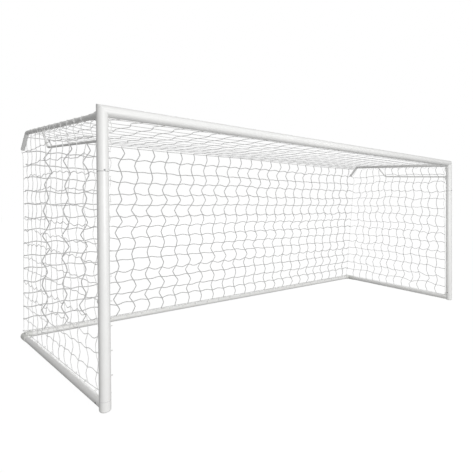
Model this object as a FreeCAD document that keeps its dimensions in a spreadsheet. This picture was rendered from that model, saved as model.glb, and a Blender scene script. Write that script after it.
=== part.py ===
import FreeCAD, Part
import math
import os
import Sketcher

# A free-standing youth soccer goal, 5 m by 2 m in the clear, in millimetres.
# +Z is up, +X runs along the crossbar and -Y is the field side.
# The origin is the middle of the goal's footprint, on the ground.

SIZES = [
    ("opening_width", "5000", "clear width between the posts"),
    ("opening_height", "2000", "clear height under the crossbar"),
    ("ground_depth", "2000", "post axis back to the rear bar axis"),
    ("splay_angle", "7.3", "outward turn of each side frame, degrees"),
    ("post_diameter", "80", "outside of the posts and the crossbar"),
    ("post_wall", "3", "wall of the posts and the crossbar"),
    ("joint_height", "1630", "height of the joint line on each post"),
    ("sleeve_length", "240", "sleeve inside each post joint"),
    ("sleeve_wall", "4", "wall of that sleeve"),
    ("corner_leg", "170", "leg of the casting inside each top corner"),
    ("corner_wall", "9", "wall of the corner casting"),
    ("fit_gap", "0.3", "clearance round every slip fit"),
    ("foot_height", "76", "visible height of the foot casting"),
    ("foot_round", "14", "rounded lower edge of the foot"),
    ("plug_depth", "70", "how far the foot reaches into the post"),
    ("spigot_depth", "110", "how far the foot reaches into the ground bar"),
    ("bar_diameter", "60", "outside of the ground bars"),
    ("bar_wall", "2.5", "wall of the ground bars"),
    ("elbow_wall", "3.2", "wall of the rear elbows round the bars"),
    ("elbow_bend", "38", "bend radius of the rear elbows"),
    ("elbow_side_leg", "160", "elbow leg along the side bar"),
    ("elbow_rear_leg", "82", "elbow leg along the rear bar"),
    ("stay_diameter", "40", "outside of the top stays"),
    ("stay_wall", "2.5", "wall of the top stays"),
    ("stay_height", "2015", "stay axis where it meets the post axis"),
    ("stay_rise", "4.9", "climb of the stay towards the back, degrees"),
    ("stay_length", "1780", "post axis to the stay's bend, along the stay"),
    ("stay_bend", "45", "bend radius of the stay"),
    ("leg_angle", "42", "drop of the stay's rear leg, degrees"),
    ("leg_length", "221", "bend to the end of the rear leg"),
    ("brace_diameter", "20", "outside of the braces"),
    ("brace_wall", "2", "wall of the braces"),
    ("brace_drop", "174", "brace axis below the stay axis"),
    ("brace_run", "1132", "post axis to the brace's bend, along the brace"),
    ("brace_bend", "60", "bend radius of the brace"),
    ("brace_climb", "44", "turn of the brace up to the stay, degrees"),
    ("socket_wall", "3.2", "wall of the sockets round the stays and braces"),
    ("stay_socket_length", "150", "stay socket beyond the post"),
    ("brace_socket_length", "34", "brace socket beyond the post"),
    ("saddle_plate", "8", "thickness of the saddles behind the posts"),
    ("saddle_half_width", "20", "half the width of those saddles"),
    ("web_thickness", "12", "gussets of the stay sockets and the feet"),
    ("screw_diameter", "8", "shank of every screw"),
    ("screw_head_diameter", "14", "domed head of every screw"),
    ("screw_head_height", "3", "height of that head"),
    ("screw_hole_gap", "0.3", "clearance round the shank"),
    ("net_thickness", "1", "thickness of the net panels"),
    ("net_gap", "0.4", "net panel to what carries it"),
    ("clip_pitch", "200", "distance between net clips"),
    ("clip_wire", "4", "hook of a net clip"),
]

POST_R = "(Sizes.post_diameter / 2)"
BAR_R = "(Sizes.bar_diameter / 2)"
STAY_R = "(Sizes.stay_diameter / 2)"
HALF_SPAN = "((Sizes.opening_width + Sizes.post_diameter) / 2)"
TOP_AXIS_Z = "(Sizes.opening_height + Sizes.post_diameter / 2)"
BORE_R = "(Sizes.post_diameter / 2 - Sizes.post_wall - Sizes.fit_gap)"
ELBOW_R = "(Sizes.bar_diameter / 2 + Sizes.fit_gap + Sizes.elbow_wall)"
FRONT_Y = f"(-(Sizes.ground_depth + {ELBOW_R} - {POST_R} - Sizes.screw_head_height - Sizes.fit_gap) / 2)"
REAR_Y = f"({FRONT_Y} + Sizes.ground_depth)"
REAR_HALF = f"({HALF_SPAN} + Sizes.ground_depth * tan(Sizes.splay_angle))"
SIDE_LENGTH = "(Sizes.ground_depth / cos(Sizes.splay_angle))"
ELBOW_TURN = "(90 + Sizes.splay_angle)"
ELBOW_TANGENT = f"(Sizes.elbow_bend * tan({ELBOW_TURN} / 2))"
BAR_STOP = f"({ELBOW_TANGENT} + 2)"
SCREW_HOLE = "(Sizes.screw_diameter / 2 + Sizes.screw_hole_gap)"
BRACE_Z = "(Sizes.stay_height - Sizes.brace_drop)"
STAY_TIP_U = "(Sizes.stay_length * cos(Sizes.stay_rise) + Sizes.leg_length * cos(Sizes.leg_angle))"
STAY_TIP_Z = (
    "(Sizes.stay_height + Sizes.stay_length * sin(Sizes.stay_rise) - Sizes.leg_length * sin(Sizes.leg_angle))"
)
STAY_SOCKET_R = f"({STAY_R} + Sizes.fit_gap + Sizes.socket_wall)"
NET_OFFSET = f"({STAY_SOCKET_R} + Sizes.net_gap)"
SIDES = (("left", -1), ("right", 1))

doc = FreeCAD.newDocument("soccer_goal")
sheet = doc.addObject("Spreadsheet::Sheet", "Sizes")
nodes = []


def fill_sheet():
    for row, (alias, value, meaning) in enumerate(SIZES, start=1):
        sheet.set(f"A{row}", alias)
        sheet.set(f"B{row}", value)
        sheet.set(f"C{row}", meaning)
        sheet.setAlias(f"B{row}", alias)
    doc.recompute()


def number(expression):
    """The present value of an expression on the sheet."""
    value = sheet.evalExpression(str(expression))
    return float(getattr(value, "Value", value))


def vector(x, y, z):
    return FreeCAD.Vector(x, y, z)


def yaw_of(side):
    """Heading of a side frame, from the post towards the back."""
    return f"(90 - {side} * Sizes.splay_angle)"


def along_side(side, distance, height):
    """World x, y and z of a point that lies in a side frame, behind the post axis."""
    x = f"{side} * ({HALF_SPAN} + ({distance}) * sin(Sizes.splay_angle))"
    y = f"{FRONT_Y} + ({distance}) * cos(Sizes.splay_angle)"
    return x, y, f"({height})"


def place(item, x="0", y="0", z="0", yaw="0", pitch="0", roll="0"):
    """Bind the placement of an object to the sheet. Pitch turns the local X axis down."""
    base = f"create(<<vector>>; {x}; {y}; {z})"
    turn = f"create(<<rotation>>; {yaw}; {pitch}; {roll})"
    item.setExpression("Placement", f"create(<<placement>>; {base}; {turn})")


# ---- sketches and features -------------------------------------------------


def new_body(label):
    body = doc.addObject("PartDesign::Body", label)
    body.Label = label
    nodes.append(body)
    return body


def new_sketch(body, name, role, offset=None):
    sketch = body.newObject("Sketcher::SketchObject", name)
    origin_plane = next(item for item in body.Origin.OriginFeatures if item.Role == role)
    sketch.AttachmentSupport = (origin_plane, [""])
    sketch.MapMode = "FlatFace"
    if offset is not None:
        sketch.setExpression("AttachmentOffset.Base.z", offset)
    return sketch


def bind(sketch, constraint, expression):
    index = sketch.addConstraint(constraint)
    sketch.setExpression(f"Constraints[{index}]", expression)


def add_circle(sketch, radius, x="0", y="0"):
    centre = vector(number(x), number(y), 0)
    circle = sketch.addGeometry(Part.Circle(centre, vector(0, 0, 1), number(radius)))
    if x == "0" and y == "0":
        sketch.addConstraint(Sketcher.Constraint("Coincident", circle, 3, -1, 1))
    else:
        bind(sketch, Sketcher.Constraint("DistanceX", -1, 1, circle, 3, centre.x), x)
        bind(sketch, Sketcher.Constraint("DistanceY", -1, 1, circle, 3, centre.y), y)
    bind(sketch, Sketcher.Constraint("Radius", circle, number(radius)), radius)


def add_outline(sketch, points):
    """A closed outline of straight edges through points given as pairs of expressions."""
    corners = [vector(number(x), number(y), 0) for x, y in points]
    lines = []
    for index, corner in enumerate(corners):
        following = corners[(index + 1) % len(corners)]
        lines.append(sketch.addGeometry(Part.LineSegment(corner, following)))
    for index, line in enumerate(lines):
        following = lines[(index + 1) % len(lines)]
        sketch.addConstraint(Sketcher.Constraint("Coincident", line, 2, following, 1))
    for line, corner, (x, y) in zip(lines, corners, points):
        bind(sketch, Sketcher.Constraint("DistanceX", -1, 1, line, 1, corner.x), x)
        bind(sketch, Sketcher.Constraint("DistanceY", -1, 1, line, 1, corner.y), y)


def add_bent_path(sketch, start, first, turn, radius, second):
    """A run along local X, one arc and a second run. A positive turn bends towards local Y."""
    angle = number(turn)
    sign = math.copysign(1, angle)
    tangent = number(radius) * math.tan(math.radians(abs(angle)) / 2)
    heading = vector(math.cos(math.radians(angle)), math.sin(math.radians(angle)), 0)
    corner = vector(number(start) + number(first), 0, 0)
    arc_start = corner - vector(tangent, 0, 0)
    arc_end = corner + heading * tangent
    end = corner + heading * number(second)
    line_in = sketch.addGeometry(Part.LineSegment(vector(number(start), 0, 0), arc_start))
    ring = Part.Circle(arc_start + vector(0, sign * number(radius), 0), vector(0, 0, 1), number(radius))
    if sign > 0:
        arc = sketch.addGeometry(Part.ArcOfCircle(ring, -math.pi / 2, math.radians(angle) - math.pi / 2))
        near, far = 1, 2
    else:
        arc = sketch.addGeometry(Part.ArcOfCircle(ring, math.pi / 2 + math.radians(angle), math.pi / 2))
        near, far = 2, 1
    line_out = sketch.addGeometry(Part.LineSegment(arc_end, end))
    shortening = f"{radius} * tan(abs({turn}) / 2)"
    sketch.addConstraint(Sketcher.Constraint("PointOnObject", line_in, 1, -1))
    bind(sketch, Sketcher.Constraint("DistanceX", -1, 1, line_in, 1, number(start)), start)
    sketch.addConstraint(Sketcher.Constraint("Horizontal", line_in))
    sketch.addConstraint(Sketcher.Constraint("Tangent", line_in, 2, arc, near))
    sketch.addConstraint(Sketcher.Constraint("Tangent", line_out, 1, arc, far))
    bind(sketch, Sketcher.Constraint("Radius", arc, number(radius)), radius)
    bind(sketch, Sketcher.Constraint("Distance", line_in, arc_start.x - number(start)), f"{first} - {shortening}")
    bind(sketch, Sketcher.Constraint("Distance", line_out, number(second) - tangent), f"{second} - {shortening}")
    bind(sketch, Sketcher.Constraint("Angle", line_out, math.radians(angle)), turn)


def pad(body, sketch, length, symmetric=False):
    feature = body.newObject("PartDesign::Pad", "Pad")
    feature.Profile = sketch
    feature.SideType = "Symmetric" if symmetric else "One side"
    feature.setExpression("Length", length)
    return feature


def cut_through(body, sketch, symmetric=True, reverse=False):
    """Cut right through: both ways, or from the sketch's plane to one side only."""
    feature = body.newObject("PartDesign::Pocket", "Pocket")
    feature.Profile = sketch
    feature.SideType = "Symmetric" if symmetric else "One side"
    feature.Type = "ThroughAll"
    feature.Reversed = reverse
    return feature


def cut_depth(body, sketch, depth, reverse=False):
    feature = body.newObject("PartDesign::Pocket", "Pocket")
    feature.Profile = sketch
    feature.SideType = "One side"
    feature.setExpression("Length", depth)
    feature.Reversed = reverse
    return feature


def turned_sketch(body, name, x="0", y="0", z="0", yaw="0", pitch="0"):
    """A sketch on the body's XY plane, moved and turned before it is drawn on."""
    sketch = new_sketch(body, name, "XY_Plane")
    base = f"create(<<vector>>; {x}; {y}; {z})"
    turn = f"create(<<rotation>>; {yaw}; {pitch}; 0)"
    sketch.setExpression("AttachmentOffset", f"create(<<placement>>; {base}; {turn})")
    return sketch


def screw_hole(body, role, x, y, reverse=False):
    """A hole through one wall. XY, XZ and YZ sketches cut towards -Z, +Y and -X unless reversed."""
    sketch = new_sketch(body, "ScrewHole", role)
    add_circle(sketch, SCREW_HOLE, x, y)
    cut_through(body, sketch, symmetric=False, reverse=reverse)


def wall_hole(body, heading, height):
    """A hole from an upright body's axis out through its wall, at a compass heading."""
    sketch = turned_sketch(body, "WallHole", yaw=heading, pitch="90")
    add_circle(sketch, SCREW_HOLE, f"-({height})", "0")
    cut_through(body, sketch, symmetric=False, reverse=True)


def add_tube(body, role, radius, wall, length, symmetric=False):
    sketch = new_sketch(body, "Section", role)
    add_circle(sketch, radius)
    add_circle(sketch, f"{radius} - {wall}")
    pad(body, sketch, length, symmetric)


def sweep_tube(body, radii, spine, start):
    """Sweep one or two circles along a bent path that begins on the local X axis."""
    section = new_sketch(body, "Section", "YZ_Plane", start)
    for radius in radii:
        add_circle(section, radius)
    feature = body.newObject("PartDesign::AdditivePipe", "Sweep")
    feature.Profile = section
    feature.Spine = (spine, ["Edge1", "Edge2", "Edge3"])


# ---- goal face: crossbar, posts and what joins them -------------------------

CORNER_SCREW = "(Sizes.corner_leg - 35)"
SADDLE_DROPS = ("45", "75")
JOINT_SCREW_RISE = "8"
JOINT_SCREW_DROP = "60"
FOOT_SCREW_RISE = "36"
BRACE_SCREW_DROP = "34"
BAR_SCREW_BACK = f"({POST_R} + 48)"
ELBOW_SCREW = f"({BAR_STOP} + 16)"
MARGIN = 10


def make_crossbar():
    body = new_body("crossbar")
    length = "(Sizes.opening_width + 2 * Sizes.post_diameter)"
    add_tube(body, "YZ_Plane", POST_R, "Sizes.post_wall", length, symmetric=True)
    for side_name, side in SIDES:
        inner = f"{side} * ({length} / 2 - 2 * {POST_R} - {MARGIN})"
        outer = f"{side} * ({length} / 2 + {MARGIN})"
        low = f"-({POST_R} + {MARGIN})"
        sketch = new_sketch(body, f"Mitre_{side_name}", "XZ_Plane")
        add_outline(sketch, [(inner, low), (outer, low), (outer, f"{POST_R} + {MARGIN}")])
        cut_through(body, sketch)
        screw_hole(body, "XZ_Plane", f"{side} * ({HALF_SPAN} - {CORNER_SCREW})", "0")
    place(body, y=FRONT_Y, z=TOP_AXIS_Z)


def make_corner_casting(side_name, side):
    """The hidden L that pins the mitre: two hollow legs that meet in a ball."""
    body = new_body(f"corner_casting_{side_name}")
    across = new_sketch(body, "AcrossLeg", "YZ_Plane")
    add_circle(across, BORE_R)
    across_pad = pad(body, across, "Sizes.corner_leg")
    across_pad.Reversed = side > 0
    down = new_sketch(body, "DownLeg", "XY_Plane")
    add_circle(down, BORE_R)
    down_pad = pad(body, down, "Sizes.corner_leg")
    down_pad.Reversed = True
    ball = body.newObject("PartDesign::AdditiveSphere", "Ball")
    ball.setExpression("Radius", BORE_R)
    core = f"{BORE_R} - Sizes.corner_wall"
    across_core = new_sketch(body, "AcrossCore", "YZ_Plane")
    add_circle(across_core, core)
    cut_through(body, across_core, symmetric=False, reverse=side < 0)
    down_core = new_sketch(body, "DownCore", "XY_Plane")
    add_circle(down_core, core)
    cut_through(body, down_core, symmetric=False)
    screw_hole(body, "XZ_Plane", f"{-side} * {CORNER_SCREW}", "0")
    screw_hole(body, "XZ_Plane", "0", f"-{CORNER_SCREW}")
    for drop in SADDLE_DROPS:
        wall_hole(body, yaw_of(side), f"Sizes.stay_height - {drop} - {TOP_AXIS_Z}")
    place(body, x=f"{side} * {HALF_SPAN}", y=FRONT_Y, z=TOP_AXIS_Z)


def make_upper_post(side_name, side):
    body = new_body(f"upper_post_{side_name}")
    length = f"({TOP_AXIS_Z} + {POST_R} - Sizes.joint_height)"
    add_tube(body, "XY_Plane", POST_R, "Sizes.post_wall", length)
    outer = f"{side} * ({POST_R} + {MARGIN})"
    inner = f"{-side} * ({POST_R} + {MARGIN})"
    low = f"{length} - 2 * {POST_R} - {MARGIN}"
    high = f"{length} + {MARGIN}"
    mitre = new_sketch(body, "Mitre", "XZ_Plane")
    add_outline(mitre, [(outer, high), (inner, high), (inner, low)])
    cut_through(body, mitre)
    screw_hole(body, "XZ_Plane", "0", JOINT_SCREW_RISE, reverse=True)
    screw_hole(body, "XZ_Plane", "0", f"{TOP_AXIS_Z} - {CORNER_SCREW} - Sizes.joint_height")
    for drop in SADDLE_DROPS:
        wall_hole(body, yaw_of(side), f"Sizes.stay_height - {drop} - Sizes.joint_height")
    wall_hole(body, yaw_of(side), f"{BRACE_Z} - {BRACE_SCREW_DROP} - Sizes.joint_height")
    place(body, x=f"{side} * {HALF_SPAN}", y=FRONT_Y, z="Sizes.joint_height")


def make_post_sleeve(side_name, side):
    body = new_body(f"post_sleeve_{side_name}")
    add_tube(body, "XY_Plane", BORE_R, "Sizes.sleeve_wall", "Sizes.sleeve_length", symmetric=True)
    screw_hole(body, "XZ_Plane", "0", JOINT_SCREW_RISE, reverse=True)
    screw_hole(body, "XZ_Plane", "0", f"-{JOINT_SCREW_DROP}")
    place(body, x=f"{side} * {HALF_SPAN}", y=FRONT_Y, z="Sizes.joint_height")


def make_lower_post(side_name, side):
    body = new_body(f"lower_post_{side_name}")
    length = "(Sizes.joint_height - Sizes.foot_height)"
    add_tube(body, "XY_Plane", POST_R, "Sizes.post_wall", f"{length} - Sizes.fit_gap")
    screw_hole(body, "XZ_Plane", "0", f"{length} - {JOINT_SCREW_DROP} - Sizes.fit_gap")
    wall_hole(body, f"{yaw_of(side)} + {side} * 90", FOOT_SCREW_RISE)
    place(body, x=f"{side} * {HALF_SPAN}", y=FRONT_Y, z="Sizes.foot_height + Sizes.fit_gap")


def make_foot(side_name, side):
    """A cast foot: round cup, plug up into the post, spigot back into the ground bar, gusset."""
    body = new_body(f"foot_{side_name}")
    cup = new_sketch(body, "Cup", "XY_Plane")
    add_circle(cup, POST_R)
    cup_pad = pad(body, cup, "Sizes.foot_height")
    doc.recompute()
    edges = cup_pad.Shape.Edges
    lowest = min(range(len(edges)), key=lambda index: edges[index].BoundBox.ZMax)
    rounding = body.newObject("PartDesign::Fillet", "FootRound")
    rounding.Base = (cup_pad, [f"Edge{lowest + 1}"])
    rounding.setExpression("Radius", "Sizes.foot_round")
    plug = new_sketch(body, "Plug", "XY_Plane", "Sizes.foot_height - 1")
    add_circle(plug, BORE_R)
    pad(body, plug, "Sizes.plug_depth + 1")
    spigot_radius = f"{BAR_R} - Sizes.bar_wall - Sizes.fit_gap"
    spigot = new_sketch(body, "Spigot", "YZ_Plane")
    add_circle(spigot, spigot_radius, "0", ELBOW_R)
    pad(body, spigot, f"{POST_R} + Sizes.spigot_depth")
    bar_top = f"({ELBOW_R} + {BAR_R} + Sizes.fit_gap)"
    clear = f"({POST_R} + Sizes.fit_gap)"
    gusset = new_sketch(body, "Gusset", "XZ_Plane")
    add_outline(gusset, [
        (f"{POST_R} - 12", bar_top),
        (f"{clear} + 58", bar_top),
        (f"{clear} + 30", f"{bar_top} + 8"),
        (f"{clear} + 14", f"{bar_top} + 22"),
        (f"{clear} + 6", f"{bar_top} + 44"),
        (f"{clear} + 3", f"{bar_top} + 66"),
        (clear, f"{bar_top} + 66"),
        (clear, "Sizes.foot_height"),
        (f"{POST_R} - 12", "Sizes.foot_height"),
    ])
    pad(body, gusset, "Sizes.web_thickness", symmetric=True)
    core = new_sketch(body, "SpigotCore", "YZ_Plane", f"{POST_R} + 6")
    add_circle(core, f"{spigot_radius} - 6", "0", ELBOW_R)
    cut_through(body, core, symmetric=False, reverse=True)
    plug_core = new_sketch(body, "PlugCore", "XY_Plane", "Sizes.foot_height")
    add_circle(plug_core, f"{BORE_R} - 7")
    cut_through(body, plug_core, symmetric=False, reverse=True)
    screw_hole(body, "XZ_Plane", BAR_SCREW_BACK, ELBOW_R, reverse=side > 0)
    wall_hole(body, f"{side} * 90", f"Sizes.foot_height + Sizes.fit_gap + {FOOT_SCREW_RISE}")
    place(body, x=f"{side} * {HALF_SPAN}", y=FRONT_Y, yaw=yaw_of(side))


# ---- ground frame ------------------------------------------------------------


def make_side_bar(side_name, side):
    body = new_body(f"side_bar_{side_name}")
    add_tube(body, "YZ_Plane", BAR_R, "Sizes.bar_wall", f"{SIDE_LENGTH} - {BAR_STOP}")
    cope = new_sketch(body, "Cope", "XY_Plane")
    add_circle(cope, f"{POST_R} + Sizes.fit_gap")
    cut_through(body, cope)
    screw_hole(body, "XZ_Plane", BAR_SCREW_BACK, "0", reverse=side > 0)
    screw_hole(body, "XY_Plane", f"{SIDE_LENGTH} - {ELBOW_SCREW}", "0", reverse=True)
    place(body, x=f"{side} * {HALF_SPAN}", y=FRONT_Y, z=ELBOW_R, yaw=yaw_of(side))


def make_rear_bar():
    body = new_body("rear_bar")
    add_tube(body, "YZ_Plane", BAR_R, "Sizes.bar_wall", f"2 * ({REAR_HALF} - {BAR_STOP})", symmetric=True)
    for side_name, side in SIDES:
        screw_hole(body, "XY_Plane", f"{side} * ({REAR_HALF} - {ELBOW_SCREW})", "0", reverse=True)
    place(body, y=REAR_Y, z=ELBOW_R)


def make_rear_elbow(side_name, side):
    """A cast elbow that both rear ground bars slide into. Its path starts on the side bar."""
    body = new_body(f"rear_elbow_{side_name}")
    turn = f"({side} * {ELBOW_TURN})"
    spine = new_sketch(body, "Spine", "XY_Plane")
    add_bent_path(spine, "0", "Sizes.elbow_side_leg", turn, "Sizes.elbow_bend", "Sizes.elbow_rear_leg")
    sweep_tube(body, (ELBOW_R, f"{BAR_R} - Sizes.bar_wall - 1"), spine, "0")
    socket_radius = f"{BAR_R} + Sizes.fit_gap"
    side_mouth = new_sketch(body, "SideSocket", "YZ_Plane")
    add_circle(side_mouth, socket_radius)
    cut_depth(body, side_mouth, f"Sizes.elbow_side_leg - {ELBOW_TANGENT}", reverse=True)
    across = f"Sizes.elbow_side_leg + Sizes.elbow_rear_leg * cos({turn})"
    along = f"Sizes.elbow_rear_leg * sin({turn})"
    rear_mouth = turned_sketch(body, "RearSocket", across, along, yaw=turn, pitch="90")
    add_circle(rear_mouth, socket_radius)
    cut_depth(body, rear_mouth, f"Sizes.elbow_rear_leg - {ELBOW_TANGENT}")
    screw_hole(body, "XY_Plane", f"Sizes.elbow_side_leg - {ELBOW_SCREW}", "0", reverse=True)
    screw_x = f"Sizes.elbow_side_leg + {ELBOW_SCREW} * cos({turn})"
    screw_hole(body, "XY_Plane", screw_x, f"{ELBOW_SCREW} * sin({turn})", reverse=True)
    x, y, z = along_side(side, f"{SIDE_LENGTH} - Sizes.elbow_side_leg", ELBOW_R)
    place(body, x=x, y=y, z=z, yaw=yaw_of(side))


# ---- stays and braces ---------------------------------------------------------

TUBE_START = f"({POST_R} + Sizes.fit_gap + Sizes.saddle_plate + 2)"
STAY_SCREW_BACK = f"({POST_R} + 75)"
BRACE_SCREW_BACK = f"({POST_R} + 25)"
STAY_TURN = "(-(Sizes.leg_angle + Sizes.stay_rise))"
BRACE_TOP_RUN = "(Sizes.brace_drop * cos(Sizes.stay_rise) / sin(Sizes.brace_climb))"


def make_socket(label, side, height, tube_radius, length, plate, screw_drops, screw_back, flare):
    """A saddle behind the post with a socket that climbs backwards from it."""
    low, high = plate
    body = new_body(f"{label}_{side}")
    sign = -1 if side == "left" else 1
    saddle = new_sketch(body, "Saddle", "XY_Plane", f"-{low}")
    half = "Sizes.saddle_half_width"
    back = f"{POST_R} + Sizes.fit_gap + Sizes.saddle_plate"
    front = f"{POST_R} * 0.6"
    add_outline(saddle, [(front, f"-{half}"), (back, f"-{half}"), (back, half), (front, half)])
    pad(body, saddle, f"{low} + {high}")
    if flare:
        web = new_sketch(body, "Gusset", "XZ_Plane")
        rise = f"({TOP_AXIS_Z} - {height})"
        hug = f"({POST_R} + 2)"
        outline = [(f"{hug} * cos({angle})", f"{rise} + {hug} * sin({angle})") for angle in (0, 20, 40, 60)]
        outline = [(hug, "0")] + outline
        for run, lift in ((62, 12), (112, 5), (146, -2)):
            top = f"{run} * tan(Sizes.stay_rise) + {tube_radius} + Sizes.fit_gap + Sizes.socket_wall + {lift}"
            outline.append((f"{run}", top))
        outline.append(("146", "0"))
        add_outline(web, outline)
        pad(body, web, "Sizes.web_thickness", symmetric=True)
    tilt = "90 - Sizes.stay_rise"
    outside = turned_sketch(body, "SocketOutside", pitch=tilt)
    add_circle(outside, f"{tube_radius} + Sizes.fit_gap + Sizes.socket_wall")
    pad(body, outside, f"{POST_R} + {length}")
    bore_x = f"({TUBE_START} - 1) * cos(Sizes.stay_rise)"
    bore_z = f"({TUBE_START} - 1) * sin(Sizes.stay_rise)"
    bore = turned_sketch(body, "SocketBore", x=bore_x, z=bore_z, pitch=tilt)
    add_circle(bore, f"{tube_radius} + Sizes.fit_gap")
    cut_depth(body, bore, f"{length} + 40", reverse=True)
    cope = new_sketch(body, "PostCope", "XY_Plane")
    add_circle(cope, f"{POST_R} + Sizes.fit_gap")
    cut_through(body, cope)
    if flare:
        bar_cope = turned_sketch(body, "CrossbarCope", yaw=f"-{yaw_of(sign)}", pitch="90")
        add_circle(bar_cope, f"{POST_R} + Sizes.fit_gap", f"{height} - {TOP_AXIS_Z}", "0")
        cut_through(body, bar_cope)
    for drop in screw_drops:
        wall_hole(body, "0", f"-{drop}")
    clamp = turned_sketch(body, "TubeScrewHole", pitch="-Sizes.stay_rise")
    add_circle(clamp, SCREW_HOLE, screw_back, "0")
    cut_through(body, clamp, symmetric=False)
    place(body, x=f"{sign} * {HALF_SPAN}", y=FRONT_Y, z=height, yaw=yaw_of(sign))


def make_stay(side_name, side):
    body = new_body(f"stay_{side_name}")
    spine = new_sketch(body, "Spine", "XZ_Plane")
    first = f"(Sizes.stay_length - {TUBE_START})"
    add_bent_path(spine, TUBE_START, first, STAY_TURN, "Sizes.stay_bend", "Sizes.leg_length")
    sweep_tube(body, (STAY_R, f"{STAY_R} - Sizes.stay_wall"), spine, TUBE_START)
    screw_hole(body, "XY_Plane", STAY_SCREW_BACK, "0")
    x = f"{side} * {HALF_SPAN}"
    place(body, x=x, y=FRONT_Y, z="Sizes.stay_height", yaw=yaw_of(side), pitch="-Sizes.stay_rise")


def make_stay_cap(side_name, side):
    body = new_body(f"stay_cap_{side_name}")
    plug = new_sketch(body, "Plug", "YZ_Plane", "-20")
    add_circle(plug, f"{STAY_R} - Sizes.stay_wall - Sizes.fit_gap")
    pad(body, plug, "21 + Sizes.fit_gap")
    flange = new_sketch(body, "Flange", "YZ_Plane", "Sizes.fit_gap")
    add_circle(flange, STAY_R)
    disc = pad(body, flange, "5")
    doc.recompute()
    edges = disc.Shape.Edges
    last = max(range(len(edges)), key=lambda index: edges[index].BoundBox.XMin)
    rounding = body.newObject("PartDesign::Fillet", "CapRound")
    rounding.Base = (disc, [f"Edge{last + 1}"])
    rounding.Radius = 2.5
    x, y, z = along_side(side, STAY_TIP_U, STAY_TIP_Z)
    place(body, x=x, y=y, z=z, yaw=yaw_of(side), pitch="Sizes.leg_angle")


def make_brace(side_name, side):
    body = new_body(f"brace_{side_name}")
    radius = "Sizes.brace_diameter / 2"
    spine = new_sketch(body, "Spine", "XZ_Plane")
    first = f"(Sizes.brace_run - {TUBE_START})"
    add_bent_path(spine, TUBE_START, first, "Sizes.brace_climb", "Sizes.brace_bend", BRACE_TOP_RUN)
    sweep_tube(body, (radius, f"{radius} - Sizes.brace_wall"), spine, TUBE_START)
    cope = new_sketch(body, "StayCope", "YZ_Plane")
    add_circle(cope, f"{STAY_R} + Sizes.fit_gap", "0", "Sizes.brace_drop * cos(Sizes.stay_rise)")
    cut_through(body, cope)
    screw_hole(body, "XY_Plane", BRACE_SCREW_BACK, "0")
    x = f"{side} * {HALF_SPAN}"
    place(body, x=x, y=FRONT_Y, z=BRACE_Z, yaw=yaw_of(side), pitch="-Sizes.stay_rise")


# ---- net panels, as plain thin plates -------------------------------------------

CLIP_RING = 7
CLIP_STEM = 4
CLIP_REACH = f"(Sizes.fit_gap + {CLIP_STEM} + 2 * {CLIP_RING} + Sizes.clip_wire)"
NET_LOW = f"(2 * {ELBOW_R} + Sizes.net_gap)"
SCREW_CLEAR = "(Sizes.screw_head_height + 2)"


def panel_half(distance_back):
    """Half width between the stays, at a distance behind the post axes."""
    inset = f"{NET_OFFSET} / cos(Sizes.splay_angle)"
    return f"({HALF_SPAN} + ({distance_back}) * tan(Sizes.splay_angle) - {inset})"


def make_net_top():
    body = new_body("net_top")
    slope = "atan(tan(Sizes.stay_rise) / cos(Sizes.splay_angle))"
    front = f"({POST_R} + {CLIP_REACH} + Sizes.net_gap)"
    rear = "(Sizes.stay_length * cos(Sizes.splay_angle) - 40)"
    outline = new_sketch(body, "Panel", "XY_Plane")
    add_outline(outline, [
        (f"-{panel_half(front)}", front),
        (panel_half(front), front),
        (panel_half(f"{rear} * cos({slope})"), rear),
        (f"-{panel_half(rear + ' * cos(' + slope + ')')}", rear),
    ])
    pad(body, outline, "Sizes.net_thickness", symmetric=True)
    place(body, y=FRONT_Y, z="Sizes.stay_height", roll=slope)


def make_net_rear():
    body = new_body("net_rear")
    top_back = "(Sizes.stay_length * cos(Sizes.splay_angle) + 32)"
    top_z = "(Sizes.stay_height + Sizes.stay_length * sin(Sizes.stay_rise) - 55)"
    lean = f"atan((Sizes.ground_depth - {top_back}) / ({top_z} - {NET_LOW}))"
    height = f"(({top_z} - {NET_LOW}) / cos({lean}))"
    onto_bar = f"({BAR_R} - {ELBOW_R})"
    bar_half = f"({REAR_HALF} - Sizes.elbow_rear_leg - 12)"
    over_half = f"({REAR_HALF} - Sizes.elbow_rear_leg + 6)"
    right_edge = [
        (bar_half, onto_bar),
        (over_half, SCREW_CLEAR),
        (panel_half("Sizes.ground_depth"), SCREW_CLEAR),
        (panel_half(top_back), height),
    ]
    left_edge = [(f"-{x}", y) for x, y in reversed(right_edge)]
    outline = new_sketch(body, "Panel", "XY_Plane")
    add_outline(outline, right_edge + left_edge)
    pad(body, outline, "Sizes.net_thickness", symmetric=True)
    place(body, y=REAR_Y, z=NET_LOW, roll=f"90 deg + {lean}")


def make_net_side(side_name, side):
    body = new_body(f"net_{side_name}")
    front = f"({POST_R} + 12)"
    top_back = "(Sizes.stay_length * cos(Sizes.stay_rise) - 30)"
    outline = new_sketch(body, "Panel", "XZ_Plane")
    add_outline(outline, [
        (front, NET_LOW),
        (SIDE_LENGTH, NET_LOW),
        (top_back, f"Sizes.stay_height + {top_back} * tan(Sizes.stay_rise)"),
        (front, f"Sizes.stay_height + {front} * tan(Sizes.stay_rise)"),
    ])
    pad(body, outline, "Sizes.net_thickness", symmetric=True)
    out = f"({NET_OFFSET} + Sizes.net_thickness / 2)"
    x = f"{side} * ({HALF_SPAN} + {out} * cos(Sizes.splay_angle))"
    y = f"{FRONT_Y} - {out} * sin(Sizes.splay_angle)"
    place(body, x=x, y=y, yaw=yaw_of(side))


# ---- screws and net clips, as groups of like solids ------------------------------


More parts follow.
